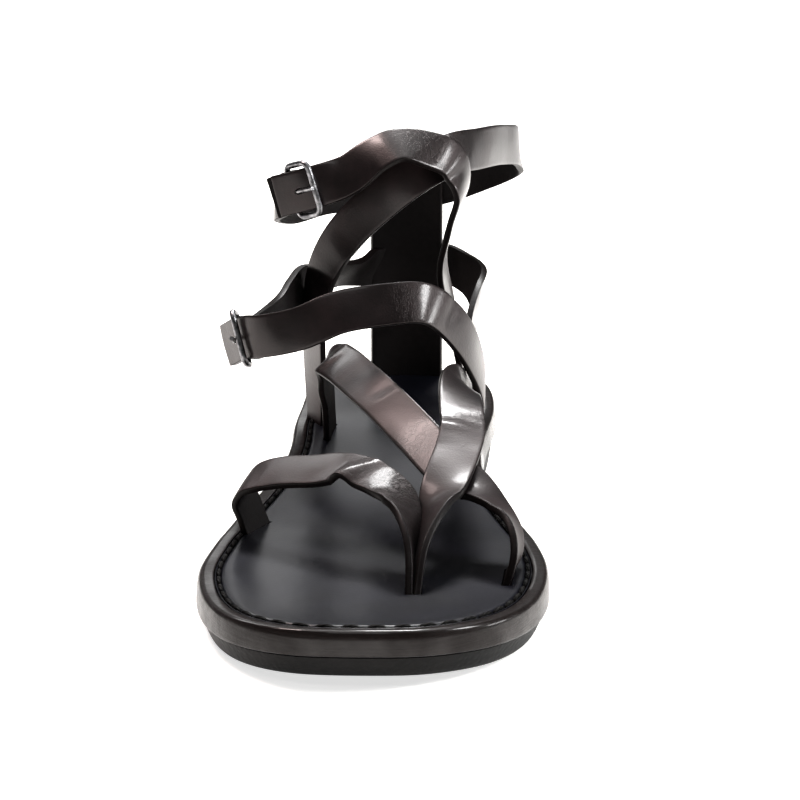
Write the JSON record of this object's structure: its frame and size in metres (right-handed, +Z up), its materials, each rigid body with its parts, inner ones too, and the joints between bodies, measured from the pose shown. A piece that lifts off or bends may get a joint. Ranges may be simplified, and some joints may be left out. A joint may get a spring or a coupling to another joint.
{
  "type": "strappy buckle sandal",
  "caption": "Flat right-foot sandal: black leather straps with a toe post cross the foot, pass a tall heel panel and close with wire buckles over a low wedge sole.",
  "frame": {"origin": "on the floor under the middle of the heel", "axes": "+Z up from the floor, +Y from the toe to the heel, +X towards the inner side of the right foot"},
  "size_m": [0.0973, 0.258, 0.12],
  "materials": {
    "outsole_rubber": "matte black rubber",
    "midsole_board": "polished dark brown leather edge",
    "insole_leather": "satin blue-black smooth leather",
    "strap_leather": "glossy brown-black smooth leather",
    "buckle_metal": "dark antique silver"
  },
  "bodies": {
    "root": {"outsole": "outsole_rubber", "midsole": "midsole_board", "insole": "insole_leather", "upper": "strap_leather", "ankle_buckle_frame": "buckle_metal", "ankle_buckle_prong": "buckle_metal", "instep_buckle_frame": "buckle_metal", "instep_buckle_prong": "buckle_metal"}
  },
  "joints": []
}
